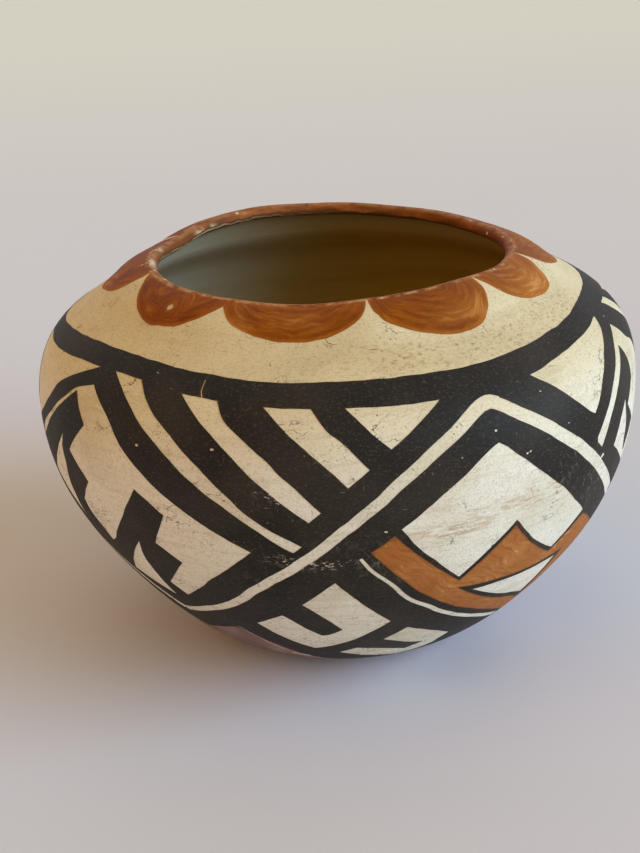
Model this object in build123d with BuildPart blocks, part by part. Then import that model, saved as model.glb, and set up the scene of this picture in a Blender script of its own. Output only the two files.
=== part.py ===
from build123d import *
import os

# A hand-built pueblo jar: a pressed base, a wall of lapped clay coils and three skins of slip.
# Millimetres, +Z up, standing on z = 0 with its axis on Z. Profiles are drawn as radius and height.

# Outside of the clay wall, from the foot up to the lip
foot_radius = 32.0
foot_angle = 18.0
lower_swell = 4.9
flank_radius, flank_height = 71.5, 40.0
belly_radius, belly_height = 77.6, 63.0
lip_height = 100.6
shoulder_radius, shoulder_drop = 72.7, 17.1
neck_radius, neck_drop = 59.6, 7.6
mouth_radius = 46.5
lip_angle = 12.0

# Thickness of the clay
base_thickness = 6.0
lower_thickness = 5.6
flank_thickness = 5.2
belly_thickness = 5.0
shoulder_thickness = 4.8
neck_thickness = 4.2
lip_thickness = 2.6

# The hollowed underside and the flat floor inside
dimple_radius = 21.0
dimple_depth = 1.6
floor_radius = 23.0

# Coils: how far the base and the rim reach along the wall, and how far each joint slopes down inside
coil_count = 7
base_reach = 14.0
rim_reach = 13.0
lap_drop = 3.0

# Slips: thicknesses, and how far along the wall each one starts or ends
slip_thickness = 0.4
coat_stations = 16
bare_foot = 2.5
red_reach = 22.0
lip_cover_outside = 0.5
lip_cover_inside = 2.0

# Petals that hang from the lip, a second coat over the white slip
petal_count = 10
petal_turn = 9.0
petal_radius = 16.0
petal_drop = 12.0
petal_thickness = 0.2

os.makedirs("parts", exist_ok=True)


def heading(angle):
    """Unit step at an angle from level, in a profile."""
    return Vector(1, 0).rotate(Axis.Z, angle)


# The outer face of the wall, from the foot up to where the round of the lip begins
lip_round = lip_thickness / 2
lip_centre = Vector(mouth_radius, lip_height - lip_round)
lip_outer = lip_centre + heading(90 - lip_angle) * lip_round
lip_inner = lip_centre - heading(90 - lip_angle) * lip_round
lip_tip = lip_centre + heading(180 - lip_angle) * lip_round

# The shoulder and the neck lie below the lip, so they follow it when it is moved
shoulder_height = lip_height - shoulder_drop
neck_height = lip_height - neck_drop

# Halfway from the foot to the flank, the lower wall swells out of the straight line
foot = Vector(foot_radius, 0)
flank = Vector(flank_radius, flank_height)
lower = (foot + flank) / 2 + (flank - foot).normalized().rotate(Axis.Z, -90) * lower_swell

with BuildLine() as outside:
    Spline(
        foot,
        lower,
        flank,
        (belly_radius, belly_height),
        (shoulder_radius, shoulder_height),
        (neck_radius, neck_height),
        lip_outer,
        tangents=[heading(foot_angle), heading(180 - lip_angle)],
    )
outer = outside.edge()


def across_wall(point, thickness):
    """The point of the inner face across the wall from a point of the outer face."""
    along = outer % outer.param_at_point(point)
    return Vector(point) + along.rotate(Axis.Z, 90) * thickness


# The inner face, from the floor up to the round of the lip
with BuildLine() as inside:
    Spline(
        (floor_radius, base_thickness),
        across_wall(lower, lower_thickness),
        across_wall(flank, flank_thickness),
        across_wall((belly_radius, belly_height), belly_thickness),
        across_wall((shoulder_radius, shoulder_height), shoulder_thickness),
        across_wall((neck_radius, neck_height), neck_thickness),
        lip_inner,
        tangents=[heading(0), heading(180 - lip_angle)],
    )
inner = inside.edge()

# Joints between the coils, as shares of each face: they start outside and slope down to the inside
first_joint = base_reach / outer.length
last_joint = 1 - rim_reach / outer.length
coil_step = (last_joint - first_joint) / coil_count
outer_joints = [first_joint + coil_step * i for i in range(coil_count + 1)]


def across_joint(joint):
    """Share of the inner face where a joint that starts outside ends, one lap below straight across."""
    straight_across = inner.distance_to_with_closest_points(outer @ joint)[1]
    return inner.param_at_point(straight_across) - lap_drop / inner.length


inner_joints = [across_joint(joint) for joint in outer_joints]

# The base is pressed in a dish and hollowed underneath, so that it stands on a ring
with BuildPart() as base_pad:
    with BuildSketch(Plane.XZ):
        with BuildLine():
            Polyline((0, base_thickness), (0, 0), (foot_radius, 0))
            add(outer.trim(0, outer_joints[0]))
            Line(outer @ outer_joints[0], inner @ inner_joints[0])
            add(inner.trim(0, inner_joints[0]))
            Line((floor_radius, base_thickness), (0, base_thickness))
        make_face()
    revolve(axis=Axis.Z)
    with BuildSketch(Plane.XZ):
        with BuildLine():
            hollow = SagittaArc((-dimple_radius, 0), (dimple_radius, 0), dimple_depth)
            Line(hollow @ 0, hollow @ 1)
        make_face()
        split(bisect_by=Plane.YZ, keep=Keep.TOP)
    revolve(axis=Axis.Z, mode=Mode.SUBTRACT)
base_pad.part.label = "base_pad"
export_step(base_pad.part, "parts/base_pad.step")

# Each coil is a rope of clay flattened into the wall and lapped onto the one below
for i in range(coil_count):
    with BuildPart() as wall_coil:
        with BuildSketch(Plane.XZ):
            with BuildLine():
                add(outer.trim(outer_joints[i], outer_joints[i + 1]))
                Line(outer @ outer_joints[i + 1], inner @ inner_joints[i + 1])
                add(inner.trim(inner_joints[i], inner_joints[i + 1]))
                Line(inner @ inner_joints[i], outer @ outer_joints[i])
            make_face()
        revolve(axis=Axis.Z)
    wall_coil.part.label = f"wall_coil_{i + 1}"
    export_step(wall_coil.part, f"parts/wall_coil_{i + 1}.step")

# The last coil carries the lip, which is rounded over
with BuildPart() as rim_coil:
    with BuildSketch(Plane.XZ):
        with BuildLine():
            add(outer.trim(outer_joints[-1], 1))
            ThreePointArc(lip_outer, lip_tip, lip_inner)
            add(inner.trim(inner_joints[-1], 1))
            Line(inner @ inner_joints[-1], outer @ outer_joints[-1])
        make_face()
    revolve(axis=Axis.Z)
rim_coil.part.label = "rim_coil"
export_step(rim_coil.part, "parts/rim_coil.step")

# Where the slips meet along the outer face, as shares of it
slip_foot = bare_foot / outer.length
slip_change = red_reach / outer.length
slip_top = 1 - lip_cover_outside / outer.length


def coat_over(face, thickness):
    """Draw the outside of a coat: everywhere its thickness to the right of a face."""
    shares = [i / coat_stations for i in range(coat_stations + 1)]
    return Spline(
        *[face @ share + (face % share).rotate(Axis.Z, -90) * thickness for share in shares],
        tangents=[face % 0, face % 1],
    )


# The red slip starts just above the ring that the jar stands on
red_ground = outer.trim(slip_foot, slip_change)
with BuildPart() as red_base_slip:
    with BuildSketch(Plane.XZ):
        with BuildLine():
            add(red_ground)
            red_face = coat_over(red_ground, slip_thickness)
            Line(red_ground @ 0, red_face @ 0)
            Line(red_ground @ 1, red_face @ 1)
        make_face()
    revolve(axis=Axis.Z)
red_base_slip.part.label = "red_base_slip"
export_step(red_base_slip.part, "parts/red_base_slip.step")

# The white slip covers the rest of the body and the shoulder, up to just below the lip
white_ground = outer.trim(slip_change, slip_top)
with BuildPart() as white_slip:
    with BuildSketch(Plane.XZ):
        with BuildLine():
            add(white_ground)
            white_face = coat_over(white_ground, slip_thickness)
            Line(white_ground @ 0, white_face @ 0)
            Line(white_ground @ 1, white_face @ 1)
        make_face()
    revolve(axis=Axis.Z)
white_slip.part.label = "white_slip"
export_step(white_slip.part, "parts/white_slip.step")

# The orange slip covers the lip, and its petals lie over the white slip
rim_coat = slip_thickness + petal_thickness
rim_tip = lip_tip + heading(180 - lip_angle) * rim_coat
petal_reach = petal_drop - lip_cover_outside
petal_ground = white_face.edge().trim(1 - petal_reach / white_face.length, 1)
petal_place = (petal_ground @ 0).X - petal_radius
lip_outside = outer.trim(slip_top, 1)
lip_inside = inner.trim(1 - lip_cover_inside / inner.length, 1)
with BuildPart() as rim_slip:
    with BuildSketch(Plane.XZ):
        with BuildLine():
            add(petal_ground)
            petal_face = coat_over(petal_ground, petal_thickness)
            Line(petal_ground @ 0, petal_face @ 0)
            Line(petal_ground @ 1, petal_face @ 1)
        make_face()
    revolve(axis=Axis.Z)
    with BuildSketch(Plane.XY):
        with PolarLocations(petal_place, petal_count, start_angle=petal_turn):
            Circle(petal_radius)
    extrude(amount=2 * lip_height, mode=Mode.INTERSECT)
    with BuildSketch(Plane.XZ):
        with BuildLine():
            add([lip_outside, lip_inside])
            ThreePointArc(lip_outer, lip_tip, lip_inner)
            outer_face = coat_over(lip_outside, rim_coat)
            inner_face = coat_over(lip_inside, -rim_coat)
            ThreePointArc(outer_face @ 1, rim_tip, inner_face @ 1)
            Line(lip_outside @ 0, outer_face @ 0)
            Line(lip_inside @ 0, inner_face @ 0)
        make_face()
    revolve(axis=Axis.Z)
rim_slip.part.label = "rim_slip"
export_step(rim_slip.part, "parts/rim_slip.step")
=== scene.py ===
# %% [markdown]
# # A hand-built pueblo jar
# A low jar with a wide shoulder, coiled from clay, coated with white and red slip, and painted in black
# and orange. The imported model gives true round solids. This lesson makes them hand-made: each solid is
# spun again from its own cross-section, eased slightly out of round, and given its slip, paint and
# wear. The paint is modelled too, as films a tenth of a millimetre thick that follow the wall.

# %% Load the frame
import math

import bmesh
import bpy
import numpy as np
from mathutils import Matrix, Vector, geometry, kdtree, noise


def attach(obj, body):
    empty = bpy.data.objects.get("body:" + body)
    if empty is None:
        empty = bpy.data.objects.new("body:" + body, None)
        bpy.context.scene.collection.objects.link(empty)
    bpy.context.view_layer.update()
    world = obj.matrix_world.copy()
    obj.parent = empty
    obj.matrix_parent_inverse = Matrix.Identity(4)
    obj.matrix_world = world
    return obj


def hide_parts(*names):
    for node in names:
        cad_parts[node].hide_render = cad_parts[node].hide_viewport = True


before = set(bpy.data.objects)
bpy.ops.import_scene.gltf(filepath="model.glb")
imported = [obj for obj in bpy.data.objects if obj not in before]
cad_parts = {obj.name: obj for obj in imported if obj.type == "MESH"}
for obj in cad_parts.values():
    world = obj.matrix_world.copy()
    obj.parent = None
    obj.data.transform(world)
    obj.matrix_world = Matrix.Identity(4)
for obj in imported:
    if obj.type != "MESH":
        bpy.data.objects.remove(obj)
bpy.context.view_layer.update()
print("CAD nodes:", ", ".join(sorted(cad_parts)))

# %% [markdown]
# ## The view
# A close view from a little above, with the camera rolled by three degrees, because the picture is
# slightly crooked. Setting the camera's matrix from three directions keeps the roll exact, where aiming
# it with a Track To constraint would level it. The jar itself stands upright.

# %% Camera
mm = 0.001
look_down = math.radians(23.37)
look_aside = math.radians(-0.86)
roll = math.radians(3.21)

ahead = Vector((
    math.sin(look_aside) * math.cos(look_down),
    math.cos(look_aside) * math.cos(look_down),
    -math.sin(look_down),
))
level_right = Vector((math.cos(look_aside), -math.sin(look_aside), 0))
level_down = ahead.cross(level_right)
right = level_right * math.cos(roll) + level_down * math.sin(roll)
down = level_down * math.cos(roll) - level_right * math.sin(roll)

bpy.ops.object.select_all(action="DESELECT")
bpy.ops.object.camera_add(location=(0, 0, 0))
camera = bpy.context.object
camera.name = "view_camera"
camera.data.lens = 59.1
camera.data.sensor_width = 36
placing = Matrix((right, -down, -ahead)).transposed().to_4x4()
camera.matrix_world = Matrix.Translation((0, -348 * mm, 201.7 * mm)) @ placing
bpy.context.scene.camera = camera
print("camera looks down by", round(math.degrees(look_down), 1), "degrees")

# %% [markdown]
# ## Floor and light
# A pale board and soft daylight. The strongest light is cool and comes from the right, a little behind
# the camera's shoulder. A weaker one comes from behind the jar, and a faint red one from the left. The
# world is warm: it stands for what the walls of a room throw back, and fills the shadows on the left.
# What is seen beyond the board, also in a reflection, is a plain pale backdrop instead.

# %% Floor and lamps
def tint(red, green, blue):
    """A colour as a picture shows it, from 0 to 255, as Blender wants it."""
    parts = [part / 255 for part in (red, green, blue)]
    return [p / 12.92 if p <= 0.04045 else ((p + 0.055) / 1.055) ** 2.4 for p in parts] + [1.0]


def add_daylight(name, towards, power, spread, colour):
    """Soft light from far away on one side, so that all of the board is lit evenly."""
    bpy.ops.object.select_all(action="DESELECT")
    bpy.ops.object.light_add(type="SUN", location=towards)
    lamp = bpy.context.object
    lamp.name = name
    lamp.data.energy = power
    lamp.data.angle = math.radians(spread)
    lamp.data.color = colour
    lamp.rotation_euler = Vector(towards).to_track_quat("Z", "Y").to_euler()
    return lamp


bpy.ops.object.select_all(action="DESELECT")
bpy.ops.mesh.primitive_plane_add(size=8, location=(0, 0, 0))
board = bpy.context.object
board.name = "board"

add_daylight("window", (0.93, -0.34, 0.33), 3.4, 50, (0.54, 0.75, 1.0))
add_daylight("back", (0.2, 0.9, 0.45), 0.55, 80, (0.5, 0.61, 1.0))
add_daylight("room", (-0.80, -0.35, 0.50), 0.25, 60, (1.0, 0.15, 0.05))

world = bpy.data.worlds.new("daylight")
bpy.context.scene.world = world
world.use_nodes = True
sky_nodes, sky_links = world.node_tree.nodes, world.node_tree.links
sky = sky_nodes["Background"]
sky.inputs["Color"].default_value = (1.0, 0.73, 0.34, 1)
sky.inputs["Strength"].default_value = 0.52
backdrop = sky_nodes.new("ShaderNodeBackground")
backdrop.inputs["Color"].default_value = tint(206, 201, 196)
rays = sky_nodes.new("ShaderNodeLightPath")
seen = rays.outputs["Is Camera Ray"]
for other in ("Is Glossy Ray", "Is Transmission Ray"):
    either = sky_nodes.new("ShaderNodeMath")
    either.operation = "MAXIMUM"
    sky_links.new(seen, either.inputs[0])
    sky_links.new(rays.outputs[other], either.inputs[1])
    seen = either.outputs[0]
choice = sky_nodes.new("ShaderNodeMixShader")
for place_in, source in enumerate((seen, sky.outputs[0], backdrop.outputs[0])):
    sky_links.new(source, choice.inputs[place_in])
sky_links.new(choice.outputs[0], sky_nodes["World Output"].inputs["Surface"])
bpy.context.scene.view_settings.view_transform = "Standard"

# %% [markdown]
# ## Cross-sections
# Every clay piece and every coat is a ring, so one cross-section says all about it. The frame already
# holds it: a revolved solid has a seam where its turn starts, and the mesh keeps that line. Reading it
# there means that nothing has to be measured or fitted. A flat face has no seam, so the walk jumps
# across it.

# %% Read a section
def section_of(node_name):
    """The cross-section of a node as [radius, height] in mm, in order round it."""
    mesh = bmesh.new()
    mesh.from_mesh(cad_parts[node_name].data)
    bmesh.ops.remove_doubles(mesh, verts=mesh.verts, dist=1e-6)
    seam = {v: [] for v in mesh.verts if abs(v.co.y) < 1e-6 and v.co.x > -1e-6}
    for edge in mesh.edges:
        a, b = edge.verts
        if a in seam and b in seam:
            seam[a].append(b)
            seam[b].append(a)
    here = min(seam, key=lambda v: (len(seam[v]), v.co.x))
    walk = [here]
    left = set(seam) - {here}
    while left:
        onward = [v for v in seam[here] if v in left]
        here = min(onward or left, key=lambda v: (v.co - here.co).length)
        walk.append(here)
        left.remove(here)
    path = np.array([[v.co.x, v.co.z] for v in walk]) / mm
    mesh.free()
    return path


clay_names = ["base_pad"] + [f"wall_coil_{i}" for i in range(1, 8)] + ["rim_coil"]
sections = {name: section_of(name) for name in clay_names + ["red_base_slip", "white_slip"]}
print("section points:", {name: len(path) for name, path in sections.items()})

# %% [markdown]
# ## Out of round
# A coiled jar is never true: its mouth is slightly egg-shaped, its lip rises and falls, and the
# scraping rib leaves broad flats. One function moves any point of the true jar to where the hands left
# it. Every piece goes through it, so neighbours that touched before still touch.

# %% Shape by hand
swells = [
    # waves round the jar, waves per mm of height, start, size in mm
    (2, 0.015, 0.4, 0.30),
    (3, -0.035, 1.9, 0.22),
    (5, 0.060, 0.7, 0.14),
    (8, -0.090, 2.6, 0.09),
    (13, 0.170, 1.1, 0.05),
]
hollows = [
    # azimuth, height, reach across and up in mm, depth in mm
    (-72, 30, 38, 22, 1.3),
]
mean_rise = 0.2
rises = [
    # how the lip rises and falls: waves round the jar, start, size in mm
    (1, 2.47, 1.10),
    (2, 0.38, 0.50),
    (3, -1.56, 0.32),
    (4, -0.53, 0.36),
    (5, 0.30, 0.10),
    (11, 0.00, 0.10),
]
dips = [
    # places where the lip was pressed down: azimuth, reach in degrees, depth in mm
    (-57, 13, 0.95),
    (-117, 13, 1.20),
]


def hand_form(points):
    """Move points of the true round jar, in mm, to where the hands left them."""
    x, y, z = np.asarray(points, float).T
    radius = np.hypot(x, y)
    azimuth = np.arctan2(x, -y)
    push = np.zeros_like(radius)
    for waves, rise, start, size in swells:
        push += size * np.sin(waves * azimuth + rise * z + start)
    for degrees, height, across, up, depth in hollows:
        turn = np.angle(np.exp(1j * (azimuth - math.radians(degrees))))
        push -= depth * np.exp(-((turn * radius / across) ** 2) - ((z - height) / up) ** 2)
    lift = mean_rise + sum(size * np.sin(waves * azimuth + start) for waves, start, size in rises)
    for degrees, across, depth in dips:
        turn = np.degrees(np.angle(np.exp(1j * (azimuth - math.radians(degrees)))))
        lift -= depth * np.exp(-((turn / across) ** 2))
    firm = np.clip(z / 14, 0, 1) * np.clip(radius / 20, 0, 1)
    moved = radius + push * firm
    lifted = z + lift * np.clip((z - 80) / 20, 0, 1)
    return np.column_stack([moved * np.sin(azimuth), -moved * np.cos(azimuth), lifted])


def shape_by_hand(piece):
    """Move every point of a piece that is still true and round."""
    true_points = np.array([v.co for v in piece.data.vertices]) / mm
    piece.data.vertices.foreach_set("co", (hand_form(true_points) * mm).astype("f").ravel())
    piece.data.update()


print("a point of the lip moves by", np.round(hand_form([[46.5, 0, 101]])[0] - [46.5, 0, 101], 2), "mm")

# %% [markdown]
# ## Spinning a ring
# By hand, a ring is a drawn outline and Spin. The outline gets a point at least every few millimetres
# first, because a long straight edge could not follow the uneven shape. After a full turn the last copy
# lies on the first one, so the doubles are merged and the normals turned outwards.

# %% Spin helper
turn_steps = 240


def stepped(path, longest, closed=True):
    """The same outline with extra points, so that no step is longer than asked."""
    ends = np.roll(path, -1, axis=0) if closed else path[1:]
    points = []
    for start, end in zip(path, ends):
        count = max(1, math.ceil(np.linalg.norm(end - start) / longest))
        points += [start + (end - start) * i / count for i in range(count)]
    if not closed:
        points.append(path[-1])
    return np.array(points)


def spun_ring(name, path, closed=True, longest=2.2):
    """Spin an outline in mm about the upright axis into a ring, still true and round."""
    points = stepped(path, longest, closed)
    edges = [(i, i + 1) for i in range(len(points) - 1)]
    if closed:
        edges.append((len(points) - 1, 0))
    mesh = bpy.data.meshes.new(name)
    mesh.from_pydata([(r * mm, 0, z * mm) for r, z in points], edges, [])
    ring = bpy.data.objects.new(name, mesh)
    bpy.context.collection.objects.link(ring)
    bpy.ops.object.select_all(action="DESELECT")
    ring.select_set(True)
    bpy.context.view_layer.objects.active = ring
    bpy.ops.object.mode_set(mode="EDIT")
    bpy.ops.mesh.select_all(action="SELECT")
    bpy.ops.mesh.spin(steps=turn_steps, angle=2 * math.pi, center=(0, 0, 0), axis=(0, 0, 1))
    bpy.ops.mesh.select_all(action="SELECT")
    bpy.ops.mesh.remove_doubles(threshold=1e-6)
    bpy.ops.mesh.normals_make_consistent(inside=False)
    bpy.ops.object.mode_set(mode="OBJECT")
    bpy.ops.object.shade_smooth_by_angle(angle=math.radians(40))
    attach(ring, "root")
    return ring


print("a ring is spun in", turn_steps, "steps")

# %% [markdown]
# ## Base and coils
# The base is a pancake of clay pressed in a dish. Seven ropes of clay are laid on it, pinched and
# scraped until only faint joints show inside, and the last coil carries the lip. Each one replaces its
# CAD node.

# %% Clay rings
clay = []
for name in clay_names:
    path = sections[name]
    closed = name != "base_pad"
    if not closed:
        if path[0][1] > path[-1][1]:
            path = path[::-1]
        path = np.vstack([path, [[0, path[-1][1]]]])
        path[0][0] = 0
    ring = spun_ring(name + "_formed", path, closed)
    shape_by_hand(ring)
    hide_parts(name)
    clay.append(ring)
print("clay rings:", len(clay), "with", sum(len(r.data.polygons) for r in clay), "faces")

# %% [markdown]
# ## The rim's outline
# The lip is a small round. Its outline, from well below it outside to a little way inside, is taken
# from the rim coil, with the direction that points straight away from the clay at every step. The crest
# is where that direction is nearly upright: outside it the white slip and the petals run up, and inside
# it the lip's own coat begins.

# %% Rim outline
reach_outside = 14.0
reach_inside = 4.6
lip_points_at = math.radians(168)

rim = stepped(sections["rim_coil"], 0.22)
tip = int(np.argmax(rim @ np.array([math.cos(lip_points_at), math.sin(lip_points_at)])))
rim = np.roll(rim, -tip, axis=0)
if rim[8][0] < rim[-8][0]:
    rim = np.roll(rim[::-1], 1, axis=0)
travel = np.concatenate([[0], np.cumsum(np.linalg.norm(np.diff(rim, axis=0), axis=1))])
whole = travel[-1] + np.linalg.norm(rim[-1] - rim[0])
outside = rim[travel <= reach_outside][::-1]
inside = rim[travel >= whole - reach_inside][::-1]
rim_path = np.vstack([outside, inside])
along = np.gradient(rim_path, axis=0)
along /= np.linalg.norm(along, axis=1)[:, None]
away = np.column_stack([along[:, 1], -along[:, 0]])
crest = int(np.argmax(away[:, 1] > math.sin(math.radians(84))))
print("the crest of the clay is at", np.round(rim_path[crest], 1))

# %% [markdown]
# ## Slip coats
# Slip is clay thinned to cream and wiped on in several coats. White covers the body up to the crest of
# the lip, and red covers the underbody. The white coat's two faces are read from its section at many
# heights. Near the lip they lie too flat for that, so from the join upwards they follow the rim's
# outline.

# %% White and red slip
slip_thickness = 0.4


def face_radius(paths, height, pick):
    """How far the inner (min) or outer (max) face of some coats stands from the axis at a height."""
    found = []
    for path in paths:
        for (r0, z0), (r1, z1) in zip(path, np.roll(path, -1, axis=0)):
            if min(z0, z1) <= height <= max(z0, z1) and z0 != z1:
                found.append(r0 + (r1 - r0) * (height - z0) / (z1 - z0))
    return pick(found)


white_path = sections["white_slip"]
white_low, white_high = white_path[:, 1].min(), white_path[:, 1].max()
join_height = white_high - 4.5
levels = np.linspace(white_low + 0.01, join_height, 110)
white_face = np.array([(face_radius([white_path], z, max), z) for z in levels])
white_back = np.array([(face_radius([white_path], z, min), z) for z in levels])
over_lip = (rim_path + away * slip_thickness)[: crest + 1]
over_lip = over_lip[over_lip[:, 1] > join_height + 0.05]
under_lip = rim_path[: crest + 1]
under_lip = under_lip[under_lip[:, 1] > join_height + 0.05]
white_outline = np.vstack([white_face, over_lip, under_lip[::-1], white_back[::-1]])
white_coat = spun_ring("white_slip_coat", white_outline, longest=1.6)
red_coat = spun_ring("red_slip_coat", sections["red_base_slip"], longest=1.6)
print("slip faces:", len(white_coat.data.polygons), len(red_coat.data.polygons))

# %% [markdown]
# ## The lip's coat
# Orange slip is rubbed over the lip and a little way inside, where a finger drew it out to nothing.

# %% Lip coat
lip_path = rim_path[crest:]
share = np.linspace(0, 1, len(lip_path))
thickness = 0.5 * np.clip((1 - share) / 0.6, 0.12, 1)
lip_face = lip_path + away[crest:] * thickness[:, None]
lip_coat = spun_ring("lip_coat", np.vstack([lip_face, lip_path[::-2]]), longest=0.6)
print("lip coat from", np.round(lip_face[0], 1), "over the lip to", np.round(lip_face[-1], 1))

# %% [markdown]
# ## Laying the wall out flat
# The ornament is painted on a double-curved wall, but it is easier to draw flat. Height is exchanged
# for the distance along the wall, and every figure is given as degrees round the jar and millimetres of
# height. The sheet goes on above the crest, where nothing is kept, so that a petal may be drawn past
# it.

# %% Flat wall
red_path = sections["red_base_slip"]
wall_z = np.linspace(red_path[:, 1].min() + 0.6, join_height, 500)
wall_r = np.array([face_radius([red_path, white_path], z, max) for z in wall_z])
wall_z = np.concatenate([wall_z, over_lip[:, 1]])
wall_r = np.concatenate([wall_r, over_lip[:, 0]])
wall_s = np.concatenate([[0], np.cumsum(np.hypot(np.diff(wall_r), np.diff(wall_z)))])
wall_dr = np.gradient(wall_r, wall_s)
wall_dz = np.gradient(wall_z, wall_s)
flat_scale = math.radians(70)


def flat(azimuth, height):
    """A point of the wall on the flat sheet, in mm."""
    beyond = max(0.0, height - wall_z[-1])
    return Vector((azimuth * flat_scale, float(np.interp(height, wall_z, wall_s)) + 1.5 * beyond))


def wrapped(points, lift):
    """Points of the flat sheet back on the hand-made wall, lifted off it by some mm."""
    sheet = np.asarray(points, float)
    azimuth = np.radians(sheet[:, 0] / flat_scale)
    r = np.interp(sheet[:, 1], wall_s, wall_r) + lift * np.interp(sheet[:, 1], wall_s, wall_dz)
    z = np.interp(sheet[:, 1], wall_s, wall_z) - lift * np.interp(sheet[:, 1], wall_s, wall_dr)
    return hand_form(np.column_stack([r * np.sin(azimuth), -r * np.cos(azimuth), z])) * mm


print("the wall is", round(wall_s[-1], 1), "mm from foot to crest, which is at", round(wall_z[-1], 1))

# %% [markdown]
# ## The ornament
# Round the body run three repeats, painted freehand, so no two are quite equal. Each has a diamond with
# two stepped figures, slanted stripes, and a tent of black with an orange feather figure. A white
# zigzag line passes over all of it, hooked figures fill the black below, and petals hang from the lip.
# The whole field is black first. What is later called white is where the slip is left bare, so order
# matters as it does in painting.
#
# Figures of the diamond: its bare inside, the bare corner left of it, two stepped figures and the
# slivers left bare in them.

# %% Diamond
diamond = [
    (-50.8, 84.5), (-47.4, 82.3), (-44.7, 80.4), (-42.5, 78.2), (-40, 75), (-35, 69.4), (-30.1, 64.8),
    (-25.1, 60.7), (-20, 56.9), (-15.9, 53.7), (-20, 48.6), (-25, 43.3), (-30, 37.6), (-34.2, 33.7),
    (-38.6, 31), (-45, 33.6), (-50, 36), (-62, 46), (-74, 56), (-82, 58), (-77, 61), (-75, 62.8),
    (-70, 68.3), (-65, 73), (-60, 78.4), (-58, 80.3), (-55.2, 82.7),
]
corner = [
    (-52.2, 87.4), (-56.4, 85.3), (-60, 83.3), (-63.3, 80.7), (-65, 78), (-70, 72), (-75, 67.8),
    (-78, 66), (-84, 63), (-92, 76), (-94, 87), (-75, 88),
]
left_steps = [
    (-55, 82), (-50, 76.2), (-55.4, 67.9), (-50.4, 61.5), (-54.9, 54.5), (-54.1, 50.9), (-51.3, 45.7),
    (-49, 35), (-62, 45), (-74, 55), (-80, 57), (-76, 60), (-69.3, 66.4), (-65, 71.3), (-60, 77),
    (-56.3, 80.8),
]
left_sliver = [
    (-57.8, 71.2), (-60, 68), (-63, 63.5), (-65, 60.3), (-69, 55), (-64, 48.5), (-57.8, 43.6),
    (-57.6, 46.3), (-59.2, 49), (-59.2, 53), (-59.4, 57.5), (-58.6, 62.9), (-58.8, 67),
]
right_steps = [
    (-37.2, 65), (-31.5, 60), (-35.2, 51), (-30.3, 46.8), (-37, 37), (-34.2, 33.7), (-38.6, 29.5),
    (-51, 34), (-56, 40), (-48.6, 45.8), (-46, 49.8), (-42.2, 55.4), (-39.8, 60),
]
right_sliver = [
    (-39.8, 49.5), (-46.2, 40.5), (-49.5, 35.2), (-45, 33.6), (-38.6, 31), (-39.4, 35), (-40.2, 39),
    (-40.6, 44),
]
print("a diamond has", len(diamond), "corners and bends")

# %% [markdown]
# Slanted stripes, bare between the bars of black that come down from the band.

# %% Stripes
stripes = [
    [
        (-49.5, 88.4), (-39, 88.4), (-39.6, 87.4), (-34.5, 83.2), (-30.3, 80.1), (-25, 74.9),
        (-19.8, 68.8), (-15, 62.8), (-12, 60), (-7, 55.9), (-8.5, 54.1), (-10, 55.2), (-15, 60.4),
        (-19.9, 65.1), (-24.8, 69.6), (-27.8, 72.6), (-29.8, 74.8), (-33.4, 78.1), (-37.3, 81.5),
        (-41.6, 84.6), (-44.5, 86.3),
    ],
    [
        (-31, 87.8), (-22.6, 87), (-19.8, 83.2), (-15, 79.1), (-12, 76.1), (-10, 73.4), (-6.8, 69.3),
        (-3.5, 64.7), (-5.7, 62.3), (-8.4, 65), (-11.9, 69.2), (-14.8, 72.6), (-16.8, 75.2),
        (-19.9, 78.5), (-22.8, 81.4), (-26.5, 84.4),
    ],
    [
        (-14.2, 86.8), (-5.4, 86.6), (-2.2, 82.3), (0.1, 80.2), (2.6, 76.8), (4.5, 74.1), (1, 70.3),
        (-1, 73.1), (-3, 75.6), (-5.8, 78.8), (-8.8, 81.8),
    ],
    [(0.7, 86.3), (18.8, 86.1), (17.4, 85.1), (12.1, 81.2), (8.1, 77.8), (4.6, 82), (2.4, 84.4)],
]
right_hand = {
    # the diamond at the right was painted with a broader bare edge
    "diamond": [(-49.2, 85.2), (-47.2, 82.7), (-45.5, 80.3)] + diamond[3:19] + [
        (-74, 59), (-70.5, 66.1), (-66.1, 71.7), (-61.9, 76.4), (-57.2, 80.3), (-52.8, 83.2),
    ],
    "corner": [
        (-51.2, 88), (-54.4, 85.8), (-59.9, 83), (-65.7, 78.7), (-70.3, 73.1), (-75, 68), (-84, 63),
        (-92, 76), (-94, 88), (-75, 89),
    ],
    "left_steps": [(-52.8, 81.3), (-51, 77), (-51, 72.6)] + left_steps[2:9] + [
        (-74, 52), (-72, 57), (-68.1, 63.3), (-64.2, 70.1), (-60.3, 74.4), (-56.2, 78),
    ],
    "left_sliver": [
        (-56.9, 70), (-59.5, 66.7), (-62.6, 60.8), (-58.2, 55.6), (-53, 50.6), (-55.4, 57.7),
        (-55.8, 62.3),
    ],
    "stripe": [
        (-44, 88.6), (-37.4, 88.4), (-35.8, 86.6), (-33, 83.8), (-29.5, 80.1),
    ] + stripes[0][5:18] + [(-36, 81.3), (-39.2, 84.8), (-40.7, 86.7)],
}
print("stripes:", len(stripes), "and figures of the right-hand diamond:", len(right_hand))

# %% [markdown]
# The tent and its feather: black first, then the bare inside, then orange, and a bare triangle low in
# it.

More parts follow.
